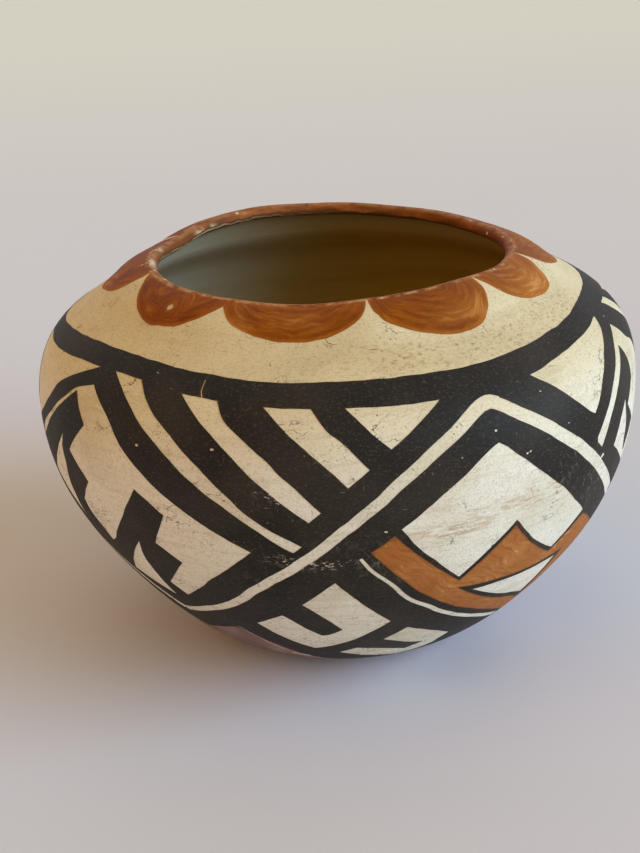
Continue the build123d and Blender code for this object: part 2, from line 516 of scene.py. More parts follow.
# %% Tent and feather
tent = [
    (27, 87), (21.4, 85.4), (11.4, 77.5), (-0.4, 63.7), (-10, 52.6), (-20, 42), (-30, 33), (-20, 26),
    (0, 12), (25, 9), (52, 9), (74, 30), (72, 46), (65, 52.8), (57, 60.9), (52.6, 62.8), (50, 65.5),
    (49.6, 73), (47.5, 74.8), (45, 77.7), (42.5, 80.7), (40, 83.2), (37.2, 85.4), (36, 87),
]
feather_bare = [
    (9.2, 59.1), (15, 65), (20, 70), (25, 74.6), (26.5, 75.5), (28, 74), (30, 71.4), (35.1, 65.4),
    (40.1, 59.4), (45, 53), (49.3, 47.6), (42.8, 40), (40.2, 42.2), (35.4, 47), (30.2, 55), (25, 48.2),
    (20.4, 42), (15, 49.4), (12.5, 53),
]
feather = [
    (8, 57.6), (10, 54.5), (12.5, 51), (15, 47.6), (17.5, 44.6), (20.5, 40.8), (25, 46.8), (30.1, 53.6),
    (35.1, 46), (40, 41), (42.4, 38.9), (49.8, 46.4), (55, 42), (60, 37.5), (64, 33), (58, 24),
    (53, 17), (49, 13), (45, 15.3), (40, 18.5), (35, 21.5), (30, 24.6), (25, 28.2), (20, 32.2),
    (15, 37.3), (10, 44), (7.5, 47.8), (4.2, 53.5),
]
feather_gap = [
    (20.8, 38.2), (25, 37.5), (29.8, 36.9), (34.8, 36.3), (40, 36), (48.8, 35.8), (47.2, 28),
    (45.6, 21), (44.5, 21), (40, 24.1), (34.8, 26.8), (29.8, 30), (25, 34),
]
feather_chip = [
    (24.3, 35.9), (29.8, 35.5), (40, 34.9), (47.4, 34.5), (46.2, 28), (44.6, 22.9), (40, 25.6),
    (34.8, 28.3), (29.8, 31.5),
]
print("the feather has", len(feather), "corners and bends")

# %% [markdown]
# Two hooked figures in the black below, and the lines: the broad zigzag, a thin one under the feather
# and one along the red.

# %% Hooks and lines
upper_hook = [
    (-2.1, 45.2), (-8.6, 37.3), (-4.9, 32.4), (-1.5, 26.9), (-4.5, 24.6), (-6.1, 24.2), (-7.8, 25.9),
    (-10.8, 29.8), (-13.1, 32.8), (-19.8, 27.8), (-17.2, 23.9), (-14.7, 20.9), (-11.7, 18.3),
    (-8.8, 16.4), (-5, 17.9), (0, 20.8), (4.8, 25.2), (8.4, 29.3), (5.1, 33.9), (2, 38.4), (0, 41.8),
]
lower_hook = [
    (12.5, 25.3), (7.6, 20.5), (10, 19), (15, 16), (19, 14.3), (15, 11.7), (10, 14.2), (5, 15.9),
    (1.5, 16.7), (-3, 14), (0, 12.5), (5, 10.5), (10, 8.7), (15, 7.6), (22, 9.4), (26.7, 15.3),
    (20, 20.2),
]
zigzag_left = [
    (28.4, 82.7), (27, 83.4), (25.6, 83.4), (23.5, 82.5), (20, 80.1), (15.5, 76.4), (10, 71.2),
    (5, 65.5), (0, 59.7), (-5, 53.9), (-10, 48.6), (-15, 43.6), (-20, 38), (-25, 33.3), (-30, 30.2),
    (-35, 27.2), (-41, 24.4),
]
zigzag_right = [
    (25.2, 83.2), (26.4, 83.4), (27.8, 82.9), (30, 81.3), (35, 77.2), (40, 72.2), (45, 66.6),
    (50, 60.8), (55, 54.4), (60, 48.2), (63.7, 44.6),
]
crack = [(-26, 89.2), (-25.9, 87.8), (-25.1, 86.1), (-23.5, 85.7), (-22.6, 84.9)]
thin_line = [
    (2.4, 52), (4.5, 48), (7.5, 43.7), (10, 39.4), (12.5, 36.2), (15, 33.9), (20, 28.9), (25, 24.9),
    (30, 21.7), (35, 18.8), (40, 16), (46, 12.8),
]
thin_line_right = [(68, 36), (62, 27.5), (57, 19.5), (52, 12.5)]
red_line = [(-26, 23.6), (-22.3, 18), (-18.3, 13), (-14.8, 10.9), (-11.5, 10)]
field_edge = [(-56, 23), (-41, 16), (-26.5, 23), (-20, 17), (-13.5, 11.5), (-5, 8), (25, 6.5), (52, 8)]
print("the zigzag has", len(zigzag_left) + len(zigzag_right), "points")

# %% [markdown]
# The band round the shoulder wavers, so it is given as its upper and lower edge at a few places. Each
# petal has an outline of its own, except the four at the back, which share one.

# %% Band and petals
band = [
    (-180, 89.9, 86.6), (-150, 89.4, 86), (-120, 87.4, 83.8), (-100, 86.4, 82.9), (-87, 86.9, 83.7),
    (-75, 88.4, 84.7), (-67, 89.3, 85.8), (-59, 90.1, 86.8), (-44, 90.6, 87.7), (-30, 90.2, 86.9),
    (-15, 89.7, 86.1), (0, 89.7, 85.8), (10, 89.5, 85.4), (19, 89.4, 85.4), (27, 89.2, 85),
    (37, 89.5, 85.5), (48, 90, 86.7), (60, 90.4, 87.3), (70, 90.8, 87.8), (82, 90.5, 87.2),
    (97, 89.6, 85.6), (120, 89.3, 85.8), (150, 89.6, 86.3), (180, 89.9, 86.6),
]
petals = [
    [
        (-71.5, 101.6), (-69.7, 100.9), (-66.2, 100.2), (-64.3, 99.7), (-59.2, 97.9), (-55, 96.5),
        (-51.3, 95.7), (-47.9, 95.4), (-44.4, 95.7), (-40, 96.3), (-36.6, 97.6), (-33.5, 98.8),
        (-30.8, 100), (-29.2, 101.6),
    ],
    [
        (-31.6, 101.6), (-30.7, 100.4), (-29.3, 99.8), (-26.7, 98.6), (-25.1, 98), (-21.2, 97.1),
        (-16, 96.2), (-8.9, 95.8), (-2.2, 96.3), (1.2, 97.1), (4.9, 98.2), (7.9, 99.8), (9.2, 101.6),
    ],
    [
        (9.3, 101.6), (10, 99.7), (11, 99), (12, 98.1), (15.1, 96.9), (19.2, 95.5), (23.6, 94.6),
        (28.4, 94), (32.7, 94.2), (35.9, 94.8), (39.6, 97), (41.4, 98.4), (42.8, 99.6), (44.2, 101.6),
    ],
    [
        (44, 101.6), (45.8, 99.6), (47.6, 98), (50, 96.9), (52.7, 96), (59, 95.1), (66.7, 95.4),
        (70, 97.2), (71.4, 98.5), (74, 99.6), (77.2, 101.6),
    ],
    [
        (77, 101.6), (77.3, 99.8), (79, 98.1), (85.1, 96.1), (95.7, 93.6), (101, 93.3), (107, 95),
        (111, 98), (113, 101.6),
    ],
    [
        (242.2, 101.6), (245, 99), (251, 96.3), (259, 94), (266, 93.1), (271.8, 93.6), (283, 95.8),
        (288.1, 97.6), (290, 99), (290.9, 100.3), (289.5, 101.6),
    ],
]
back_petal = [
    # degrees from where the petal starts, and heights
    (0, 101.6), (1.2, 99.7), (3.6, 97.8), (7, 96.3), (11.5, 95.3), (16.5, 95), (21.5, 95.5),
    (25.5, 96.6), (28.6, 98.2), (30.6, 99.9), (31.8, 101.6),
]
for start, width in ((113.2, 1), (145.4, 1.01), (178, 0.99), (210, 1)):
    petals.append([(start + width * turn, height) for turn, height in back_petal])
nicks = [
    # azimuth, height, size in mm of single chips down to the slip
    (-45.3, 98.8, 1.3), (-80, 100.6, 0.9), (-37.2, 89.1, 0.35), (-36.1, 75.9, 0.5), (-21.5, 77.8, 0.55),
    (26.3, 78, 0.4), (31.7, 71.2, 0.4), (32.4, 71.5, 0.4), (19.7, 73.9, 0.25), (6.7, 58.9, 0.45),
    (37.4, 82.5, 0.3), (41.7, 74.3, 0.3), (71.8, 86.5, 0.5), (52.5, 60.8, 0.9),
]
print("petals:", len(petals), "nicks:", len(nicks))

# %% [markdown]
# ## Three repeats
# Every figure is drawn for the repeat at the front. For another one it is moved round the jar, eased in
# width, and held under the middle of the band. The repeat behind the seam is painted at both of its
# ends.

# %% Where the repeats stand
diamond_tops = [-292, -172, -52, 68, 188]
tent_peaks = [-213, -103, 27, 147, 257]
round_band = [(a - 360, u, l) for a, u, l in band[:-1]] + band
round_band += [(a + 360, u, l) for a, u, l in band[1:]]
band_middle = [((upper + lower) / 2) for azimuth, upper, lower in round_band]
band_place = [azimuth for azimuth, upper, lower in round_band]


def place(repeat, outline):
    """Move an outline drawn for the front repeat to another one, and ease its width to fit there."""
    top, peak = diamond_tops[repeat], tent_peaks[repeat]
    moved = []
    for azimuth, height in outline:
        if azimuth < -52:
            there = top + azimuth + 52
        elif azimuth > 27:
            there = peak + azimuth - 27
        else:
            there = top + (azimuth + 52) * (peak - top) / 79
        moved.append((there, min(height, float(np.interp(there, band_place, band_middle)))))
    return moved


print("the band runs between", round(min(band_middle), 1), "and", round(max(band_middle), 1), "mm")

# %% [markdown]
# ## The brush
# A brush rounds a line off between corners and never runs quite true. Each outline is eased with curved
# steps between its points, except where it turns sharply, and then shaken by a little noise.

# %% Brush helpers
brush_step = 1.3
sharp_turn = math.radians(38)


def brushed(outline, closed=True):
    """An outline in degrees and mm as the brush leaves it on the flat sheet."""
    points = [flat(*p) for p in outline]
    count = len(points)
    slopes = []
    for i, point in enumerate(points):
        before, after = points[i - 1], points[(i + 1) % count]
        turn = abs((point - before).angle_signed(after - point, 0))
        at_end = not closed and i in (0, count - 1)
        slopes.append(None if at_end or turn > sharp_turn else (after - before).normalized())
    line = []
    for i in range(count if closed else count - 1):
        a, b = points[i], points[(i + 1) % count]
        length = (b - a).length
        lead_out = (slopes[i] or (b - a).normalized()) * length / 3
        lead_in = (slopes[(i + 1) % count] or (b - a).normalized()) * length / 3
        steps = max(2, math.ceil(length / brush_step))
        line += geometry.interpolate_bezier(a, a + lead_out, b - lead_in, b, steps + 1)[:-1]
    if not closed:
        line.append(points[-1])
    for point in line:
        shake = noise.noise_vector(Vector((point.x, point.y, 0)) * 0.22)
        tremble = noise.noise_vector(Vector((point.x, point.y, 9)) * 0.9)
        point.x += 0.22 * shake.x + 0.07 * tremble.x
        point.y += 0.22 * shake.y + 0.07 * tremble.y
    return line


def stroke(path, width, taper=0.0):
    """A brush line of some mm along a path in degrees and mm, thinner at its start where asked."""
    line = brushed(path, closed=False)
    count = len(line)
    left_side, right_side = [], []
    for i, point in enumerate(line):
        step = line[min(i + 1, count - 1)] - line[max(i - 1, 0)]
        squeeze = math.radians(1) / flat_scale * float(np.interp(point.y, wall_s, wall_r))
        side = Vector((-step.y, step.x * squeeze)).normalized()
        side.x /= squeeze
        reach = width / 2 * (1 - taper * (1 - i / count))
        left_side.append(point + side * reach)
        right_side.append(point - side * reach)
    return left_side + right_side[::-1]


print("a petal is drawn with", len(brushed(petals[0])), "points")

# %% [markdown]
# ## Painting in order
# All figures go on one list, first ones undermost. A white figure takes off what lies under it.

# %% The list of figures
layers = [("red", brushed([(-200, 10.8), (200, 10.8), (200, 26), (-200, 26)]))]

field = []
for repeat in range(5):
    field += place(repeat, field_edge)
low_left, low_right = field[0][0], field[-1][0]
top_line = [(a, m) for a, m in zip(band_place, band_middle) if low_left < a < low_right]
layers.append(("black", brushed(field + top_line[::-1])))

for repeat in range(5):
    own = right_hand if repeat in (0, 3) else {}
    for colour, outline in (
        ("white", own.get("diamond", diamond)), ("white", own.get("corner", corner)),
        ("black", own.get("left_steps", left_steps)), ("black", right_steps),
        ("white", own.get("left_sliver", left_sliver)), ("white", right_sliver),
    ):
        layers.append((colour, brushed(place(repeat, outline))))
    for stripe in [own.get("stripe", stripes[0])] + stripes[1:]:
        layers.append(("white", brushed(place(repeat, stripe))))

for repeat in range(5):
    layers.append(("black", brushed(place(repeat, tent))))
for repeat in range(5):
    layers.append(("white", stroke(place(repeat, zigzag_left), 2.2, -0.4)))
    if repeat < 4:
        climb = place(repeat, zigzag_right) + [(diamond_tops[repeat + 1] + 11, 24.6)]
        layers.append(("white", stroke(climb, 3.3, 0.1)))
    for colour, outline in (
        ("white", feather_bare), ("orange", feather), ("black", feather_gap), ("white", feather_chip),
        ("white", upper_hook), ("white", lower_hook),
    ):
        layers.append((colour, brushed(place(repeat, outline))))
    layers.append(("white", stroke(place(repeat, thin_line), 2.2, 0.6)))
    layers.append(("white", stroke(place(repeat, thin_line_right), 2.2, 0.6)))
    layers.append(("white", stroke(place(repeat, red_line), 0.8, 0.3)))

band_edge = [(a, u) for a, u, l in round_band] + [(a, l) for a, u, l in round_band[::-1]]
layers.append(("black", brushed(band_edge)))
layers.append(("white", stroke(crack, 0.35, 0.3)))
for outline in petals:
    for turn in (-360, 0):
        layers.append(("petal", brushed([(a + turn, z) for a, z in outline])))
for azimuth, height, size in nicks:
    corners = []
    for i in range(7):
        reach = size * (0.75 + 0.5 * noise.noise(Vector((azimuth, height, i))))
        turn = math.radians(360 * i / 7)
        corner_at = Vector((1.25 * math.cos(turn), 0.85 * math.sin(turn))) * reach
        corners.append(flat(azimuth, height) + corner_at)
    layers.append(("white", corners))
print("figures:", len(layers))

# %% [markdown]
# ## Cutting the sheet
# Blender's knife needs a window, so the cutting is left to a constrained triangulation: it takes all
# the outlines at once, cuts each along the others, and says which outlines every small triangle lies
# in. The last one painted gives its colour. A grid of loose points keeps the triangles small enough to
# bend round the wall.

# %% Cut and sort
half_round = 180 * flat_scale
top_edge = wall_s[-1]
sheet_points, sheet_faces = [], []
for colour, outline in layers:
    area = sum(a.cross(b) for a, b in zip(outline, outline[1:] + outline[:1]))
    first = len(sheet_points)
    sheet_points += outline
    loop = list(range(first, len(sheet_points)))
    sheet_faces.append(loop if area > 0 else loop[::-1])


def add_grid(low, high, step):
    """Loose points between two distances along the wall, every second column set half a step higher."""
    columns = np.linspace(-half_round, half_round, int(2 * half_round / step))[1:-1]
    for i, column in enumerate(columns):
        lag = step / 2 * (i % 2)
        sheet_points.extend(Vector((column, s + lag)) for s in np.arange(low, high, step))


add_grid(0.4, top_edge - 17.5, 1.5)
add_grid(top_edge - 17, top_edge - 0.8, 0.8)
frame_corners = [(-half_round, 0.1), (half_round, 0.1), (half_round, top_edge), (-half_round, top_edge)]
sheet_edges = []
for (x0, y0), (x1, y1) in zip(frame_corners, frame_corners[1:] + frame_corners[:1]):
    count = int(math.hypot(x1 - x0, y1 - y0) / 0.9)
    first = len(sheet_points)
    sheet_points += [
        Vector((x0 + (x1 - x0) * i / count, y0 + (y1 - y0) * i / count)) for i in range(count + 1)
    ]
    sheet_edges += [(first + i, first + i + 1) for i in range(count)]

cut_points, _, cut_faces, _, _, cut_owners = geometry.delaunay_2d_cdt(
    sheet_points, sheet_edges, sheet_faces, 1, 1e-4
)
red_top = float(np.interp(white_low + 0.4, wall_z, wall_s))
colour_faces = {}
for face, owners in zip(cut_faces, cut_owners):
    middle = sum((cut_points[i] for i in face), Vector((0, 0))) / 3
    if not owners or abs(middle.x) > half_round or middle.y > top_edge:
        continue
    colour = layers[max(owners)][0]
    if colour == "white" and middle.y > red_top:
        continue
    colour_faces.setdefault(colour, []).append(face)
print("triangles:", {colour: len(faces) for colour, faces in colour_faces.items()})

# %% [markdown]
# ## Paint films
# The triangles of a colour become one film: wrapped onto the wall, a tenth of a millimetre off it, and
# made solid by a Solidify modifier, so that the film is closed and lies on the slip. Each film also
# remembers, at every point, its place on the flat sheet and how far inside its edge it is. The finishes
# use both.

# %% Film helper
film_lift = 0.1
film_thickness = 0.09


def paint_film(name, faces):
    """A closed film of paint on the wall from triangles of the flat sheet."""
    used = sorted({i for face in faces for i in face})
    renumber = {old: new for new, old in enumerate(used)}
    sheet = [cut_points[i] for i in used]
    sides = {}
    for face in faces:
        for a, b in zip(face, face[1:] + face[:1]):
            pair = (min(a, b), max(a, b))
            sides[pair] = sides.get(pair, 0) + 1
    rim_points = {i for pair, count in sides.items() if count == 1 for i in pair}
    rim_points = {i for i in rim_points if cut_points[i].y < top_edge - 0.1}
    tree = kdtree.KDTree(len(rim_points))
    for i in rim_points:
        if abs(abs(cut_points[i].x) - half_round) > 0.01:
            tree.insert(cut_points[i].to_3d(), i)
    tree.balance()
    mesh = bpy.data.meshes.new(name)
    renumbered = [[renumber[i] for i in face] for face in faces]
    mesh.from_pydata(wrapped(sheet, film_lift).tolist(), [], renumbered)
    film = bpy.data.objects.new(name, mesh)
    bpy.context.collection.objects.link(film)
    inset = mesh.attributes.new("inset", "FLOAT", "POINT")
    inset.data.foreach_set("value", [tree.find(p.to_3d())[2] for p in sheet])
    drawn_at = mesh.attributes.new("drawn_at", "FLOAT_VECTOR", "POINT")
    drawn_at.data.foreach_set("vector", [c for p in sheet for c in (p.x, p.y, 0)])
    bpy.ops.object.select_all(action="DESELECT")
    film.select_set(True)
    bpy.context.view_layer.objects.active = film
    bpy.ops.object.mode_set(mode="EDIT")
    bpy.ops.mesh.select_all(action="SELECT")
    bpy.ops.mesh.remove_doubles(threshold=2e-6)
    bpy.ops.object.mode_set(mode="OBJECT")
    bpy.ops.object.shade_smooth()
    solid = film.modifiers.new("film", "SOLIDIFY")
    solid.thickness = film_thickness * mm
    solid.offset = -1
    bpy.ops.object.modifier_apply(modifier=solid.name)
    bpy.ops.object.shade_smooth_by_angle(angle=math.radians(50))
    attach(film, "root")
    return film


films = {}
for colour, name, slot in (
    ("black", "black_paint", "white_slip"), ("orange", "feather_paint", "orange_slip"),
    ("petal", "petal_slip", "orange_slip"), ("red", "red_points", "red_slip"),
    ("white", "white_low_figures", "white_slip"),
):
    films[colour] = paint_film(name, colour_faces[colour])
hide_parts("rim_slip")
print("films:", {film.name: len(film.data.polygons) for film in films.values()})

# %% [markdown]
# ## Where the wear and painted shade are
# Some marks sit in one place: a rust stain, soil in the pores of the shoulder, flaked and scuffed
# paint, thin washes in the petals, the lip's worn crest and its ragged inner edge. That edge is also
# painted dark as shade, where the lip turns down into the jar. Most are soft spots that a piece
# remembers at its points, which needs no texture to be unwrapped. They are set before the coats are
# shaped, while heights on them are still true. The finishes turn them into stains, chips and that
# painted shade.

# %% Marks
def marked(azimuth, height, spots):
    """How strongly points lie in soft spots: azimuth, height, reach in degrees and mm, strength."""
    total = np.zeros_like(azimuth)
    for middle, level, degrees, rise, size in spots:
        turn = (azimuth - middle + 180) % 360 - 180
        total += size * np.exp(-((turn / degrees) ** 2) - ((height - level) / rise) ** 2)
    return np.clip(total, 0, 1)


def angle_and_height(piece):
    """Degrees round the jar and mm of height for every point of a piece."""
    x, y, z = np.array([v.co for v in piece.data.vertices]).T / mm
    return np.degrees(np.arctan2(x, -y)), z


def remember(piece, name, values):
    """Keep a value at every point of a piece."""
    kept = piece.data.attributes.new(name, "FLOAT", "POINT")
    kept.data.foreach_set("value", np.asarray(values, "f"))


stains = [
    (18, 56.4, 7, 2.2, 1), (29, 59.6, 9, 2.6, 0.7), (40, 62, 8, 6, 0.5), (56, 56, 6, 6, 0.4),
    (-25, 40, 8, 4, 0.3),
]
soils = [
    (66, 92.6, 9, 3, 1), (54, 92.8, 9, 3.4, 1), (40, 92, 12, 2.4, 0.8), (10, 92.8, 18, 3, 0.7),
    (24, 91.4, 12, 2.2, 0.8), (150, 92, 40, 4, 0.5),
]
flakes = [
    (-12, 69.5, 3.5, 2.2, 1), (-9.5, 67, 2.5, 1.4, 0.9), (-14, 53, 5, 2.2, 0.6),
    (-8, 51.2, 5, 2.2, 0.8), (-2, 50.6, 4, 1.8, 1), (-17, 46, 4, 3, 0.4), (6, 51, 4, 2.2, 0.8),
    (12, 46.6, 3, 2.4, 0.8), (0, 57, 6, 3, 0.35),
]
scuffs = [
    (41, 63.5, 4, 4, 0.9), (48, 55, 5, 6, 1), (57, 46, 5, 6, 0.8), (8, 50, 8, 6, 0.6),
    (-140, 60, 20, 12, 0.7),
]
washes = [
    (62, 97, 14, 4, 1), (-9, 99.4, 7, 1.4, 0.4), (-25, 98.6, 4, 2, 0.5), (31, 98.4, 6, 2, 0.5),
    (38, 98, 3, 3, 0.5), (100, 96, 12, 4, 0.5), (-86, 97, 14, 4, 0.25), (170, 98, 12, 3, 0.6),
]
rubs = [
    (-80, 101.2, 4, 0.9, 1), (-98, 101.2, 2, 0.8, 0.9), (-127, 99.6, 2, 0.8, 0.8),
    (-133, 99.4, 2, 0.7, 0.8),
]
torn_at = [(-125, 99, 42, 4, 1)]

for piece, name, spots in (
    (white_coat, "stain", stains), (white_coat, "soil", soils),
    (films["black"], "flaked", flakes), (films["black"], "scuffed", scuffs),
    (films["petal"], "thin", washes), (lip_coat, "rubbed", rubs), (lip_coat, "torn", torn_at),
):
    remember(piece, name, marked(*angle_and_height(piece), spots))

# Below low_edge the lip gets its dark ragged edge: the slip's own end, darkened further as painted
# shade.
low_edge, worn_from = 98.6, 100.4
lip_angle, lip_height = angle_and_height(lip_coat)
torn = marked(lip_angle, lip_height, torn_at)
remember(lip_coat, "crest", np.clip((lip_height - worn_from) / 0.7, 0, 1))
remember(lip_coat, "ragged_edge_and_shade", (lip_height - low_edge) / 1.5 + 0.3 - 0.45 * torn)
print("marked:", len(stains + soils + flakes + scuffs + washes + rubs), "spots")

# %% [markdown]
# With its marks remembered, every coat goes through the same uneven shaping as the clay under it.

# %% Shape the coats
for coat, node in ((white_coat, "white_slip"), (red_coat, "red_base_slip"), (lip_coat, "rim_slip")):
    shape_by_hand(coat)
    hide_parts(node)
print("coats shaped")

# %% [markdown]
# ## Finishes
# All colours are procedural and fixed to the jar. A picture laid over it would stretch at the shoulder,
# while noise that is read at the object's own coordinates fits everywhere. A few helpers keep the node
# trees short: one adds a node and sets or joins its inputs, and the others stand for the small steps
# that every finish repeats.

# %% Node helpers
def start_finish(name, roughness, shine):
    """A new material and its main shader."""
    finish = bpy.data.materials.new(name)
    finish.use_nodes = True
    shader = finish.node_tree.nodes["Principled BSDF"]
    shader.inputs["Roughness"].default_value = roughness
    shader.inputs["Specular IOR Level"].default_value = shine
    return finish, shader


def add_node(finish, kind, values=None, **settings):
    """A node with its settings, and its inputs set or joined by name."""
    tree = finish.node_tree
    node = tree.nodes.new(kind)
    for name, value in settings.items():
        setattr(node, name, value)
    for name, value in (values or {}).items():
        if isinstance(value, bpy.types.NodeSocket):
            tree.links.new(value, node.inputs[name])
        else:
            node.inputs[name].default_value = value
    return node


def on_jar(finish, stretch=(1, 1, 1), turn=(0, 0, 0)):
    """Places on the jar in metres, turned and stretched before a texture reads them."""
    places = add_node(finish, "ShaderNodeTexCoord").outputs["Object"]
    turned = add_node(finish, "ShaderNodeMapping", {"Vector": places, "Rotation": turn})
    values = {"Vector": turned.outputs["Vector"], "Scale": stretch}
    return add_node(finish, "ShaderNodeMapping", values).outputs["Vector"]


def grain(finish, vector, scale, detail=3, rough=0.55):
    """Cloudy noise between 0 and 1."""
    values = {"Vector": vector, "Scale": scale, "Detail": detail, "Roughness": rough}
    return add_node(finish, "ShaderNodeTexNoise", values).outputs["Fac"]


def between(finish, value, low, high, to_low=0.0, to_high=1.0):
    """A value eased from one range to another and held at its ends."""
    values = {"Value": value, "From Min": low, "From Max": high, "To Min": to_low, "To Max": to_high}
    node = add_node(finish, "ShaderNodeMapRange", values, interpolation_type="SMOOTHSTEP")
    return node.outputs["Result"]


def combined(finish, a, b, operation="MULTIPLY"):
    """Two values multiplied, added or put together in another way."""
    return add_node(finish, "ShaderNodeMath", {0: a, 1: b}, operation=operation).outputs[0]


def mixed(finish, share, first, second):
    """Two colours mixed by a share."""
    node = add_node(finish, "ShaderNodeMix", {0: share, 6: first, 7: second}, data_type="RGBA")
    return node.outputs[2]


def flecks(finish, vector, size, share):
    """Small marks of some size in the cells of a pattern: share says how many cells have one."""
    cells = add_node(finish, "ShaderNodeTexVoronoi", {"Vector": vector, "Scale": 1.0})
    lot = add_node(finish, "ShaderNodeSeparateColor", {"Color": cells.outputs["Color"]}).outputs["Red"]
    mark = between(finish, cells.outputs["Distance"], size, size * 0.5)
    return combined(finish, mark, between(finish, combined(finish, lot, share, "ADD"), 1.0, 1.02))


def remembered(finish, name, kind="Fac"):
    """A value that a piece remembers at its points."""
    return add_node(finish, "ShaderNodeAttribute", attribute_name=name).outputs[kind]


def colour_with(finish, shader, colour, height, depth):
    """Join a colour to the shader, and a bump from a height between 0 and 1, as deep as given in mm."""
    finish.node_tree.links.new(colour, shader.inputs["Base Color"])
    values = {"Height": height, "Strength": 1.0, "Distance": depth * mm}
    bump = add_node(finish, "ShaderNodeBump", values).outputs["Normal"]
    finish.node_tree.links.new(bump, shader.inputs["Normal"])


def wear(finish, *pieces):
    """Give pieces a finish."""
    for piece in pieces:
        piece.data.materials.clear()
        piece.data.materials.append(finish)


print("helpers ready")

# %% [markdown]
# White slip: warm cream, burnished in level strokes, with pits, specks of temper and a broken net of
# fine cracks that hold dirt.

# %% White slip finish
white, white_shader = start_finish("white slip", 0.55, 0.22)
plain = on_jar(white)
high = add_node(white, "ShaderNodeSeparateXYZ", {"Vector": plain}).outputs["Z"]
cream = mixed(white, between(white, high, 64 * mm, 94 * mm), tint(242, 236, 217), tint(229, 215, 174))
blotch = grain(white, plain, 45, 5)
cream = mixed(white, between(white, blotch, 0.45, 0.75, 0, 0.5), cream, tint(204, 188, 146))
strokes = grain(white, on_jar(white, (60, 60, 640)), 1, 4)
cream = mixed(white, between(white, strokes, 0.48, 0.74, 0, 0.4), cream, tint(198, 182, 144))
for stretch in ((900, 900, 3000), (3000, 3000, 1000)):
    weave = grain(white, on_jar(white, stretch), 1, 3, 0.6)
    cream = mixed(white, between(white, weave, 0.50, 0.70, 0, 0.3), cream, tint(168, 150, 112))
grit = grain(white, plain, 2200, 4, 0.7)
cream = mixed(white, between(white, grit, 0.50, 0.70, 0, 0.3), cream, tint(140, 118, 84))

dirt = between(white, grain(white, plain, 70, 4), 0.42, 0.64, 0.1, 1)
wander = grain(white, on_jar(white, (170, 170, 300)), 1, 3, 0.55)
crack_values = {0: wander, 1: 0.5, 2: 0.008}
hairline = add_node(white, "ShaderNodeMath", crack_values, operation="COMPARE").outputs[0]
marks = combined(white, hairline, between(white, grain(white, plain, 110, 2), 0.48, 0.58))
for stretch, turn, share in (
    ((1100, 1100, 1100), (0, 0, 0), 0.09),
    ((480, 480, 480), (0, 0, 0), 0.02),
    ((240, 240, 2600), (0, 0, 0), 0.06),
    ((2500, 1000, 320), (0, 0.7, 0), 0.06),
    ((2400, 1000, 360), (0, -0.5, 0.4), 0.06),
):
    marks = combined(white, marks, flecks(white, on_jar(white, stretch, turn), 0.28, share), "MAXIMUM")
marks = combined(white, marks, dirt)
cream = mixed(white, combined(white, marks, 0.85), cream, tint(92, 74, 48))

soil = remembered(white, "soil")
cream = mixed(white, combined(white, soil, 0.35), cream, tint(196, 172, 124))
soiled = between(white, grain(white, on_jar(white, (760, 760, 1900)), 1, 6, 0.7), 0.50, 0.66)
cream = mixed(white, combined(white, combined(white, soil, soiled), 0.7), cream, tint(142, 114, 76))
rust = between(white, grain(white, on_jar(white, (230, 230, 1300)), 1, 6, 0.65), 0.44, 0.62)
rust = combined(white, remembered(white, "stain"), rust)
cream = mixed(white, combined(white, rust, 0.7), cream, tint(176, 132, 72))
tooth = mixed(white, 0.5, strokes, grain(white, plain, 600, 4))
tooth = mixed(white, marks, tooth, (0, 0, 0, 1))
colour_with(white, white_shader, cream, tooth, 0.12)
wear(white, white_coat, films["white"])
print("white slip:", len(white.node_tree.nodes), "nodes")

# %% [markdown]
# Black paint: boiled plant juice and ground stone, matt and brownish where the brush ran thin at an
# edge.

# %% Black paint finish
black, black_shader = start_finish("black paint", 0.6, 0.2)
plain = on_jar(black)
cloud = grain(black, plain, 50, 5)
ink = mixed(black, between(black, cloud, 0.3, 0.7), tint(30, 25, 18), tint(48, 42, 34))
grit = grain(black, on_jar(black, (1400, 1400, 2400)), 1, 4, 0.7)
ink = mixed(black, between(black, grit, 0.50, 0.74, 0, 0.6), ink, tint(92, 82, 66))
thin = between(black, remembered(black, "inset"), 0.5, 0.0)
thin = combined(black, thin, between(black, grain(black, plain, 120, 3), 0.48, 0.68))
ink = mixed(black, combined(black, thin, 0.5), ink, tint(100, 66, 40))
for stretch, share in (((900, 900, 900), 0.02), ((300, 300, 2400), 0.03), ((2400, 1200, 360), 0.02)):
    speck = flecks(black, on_jar(black, stretch), 0.25, share)
    ink = mixed(black, combined(black, speck, 0.5), ink, tint(150, 134, 108))

flaked = combined(black, remembered(black, "flaked"), 0.28)
chip = combined(black, grain(black, on_jar(black, (800, 800, 1900)), 1, 4, 0.7), flaked, "ADD")
ink = mixed(black, between(black, chip, 0.83, 0.86), ink, tint(214, 204, 180))
haze = between(black, grain(black, plain, 500, 5, 0.7), 0.5, 0.68)
haze = combined(black, remembered(black, "flaked"), haze)
ink = mixed(black, combined(black, haze, 0.35), ink, tint(150, 142, 126))

scuffed = remembered(black, "scuffed")
for stretch, turn in (((1500, 500, 230), (0, 0.5, 0)), ((1300, 500, 260), (0, -0.4, 0))):
    rub = between(black, grain(black, on_jar(black, stretch, turn), 1, 5, 0.7), 0.56, 0.72)
    ink = mixed(black, combined(black, combined(black, rub, scuffed), 0.55), ink, tint(158, 152, 142))
colour_with(black, black_shader, ink, grain(black, on_jar(black, (1, 1, 3)), 320, 4), 0.1)
wear(black, films["black"])
print("black paint:", len(black.node_tree.nodes), "nodes")

# %% [markdown]
# Orange slip: laid on wet with a wide brush, so that streaks follow the outline of every petal, and
# light where the slip is thin. The wash on the feather is brushed this way and that, and is darkest
# along its edge.

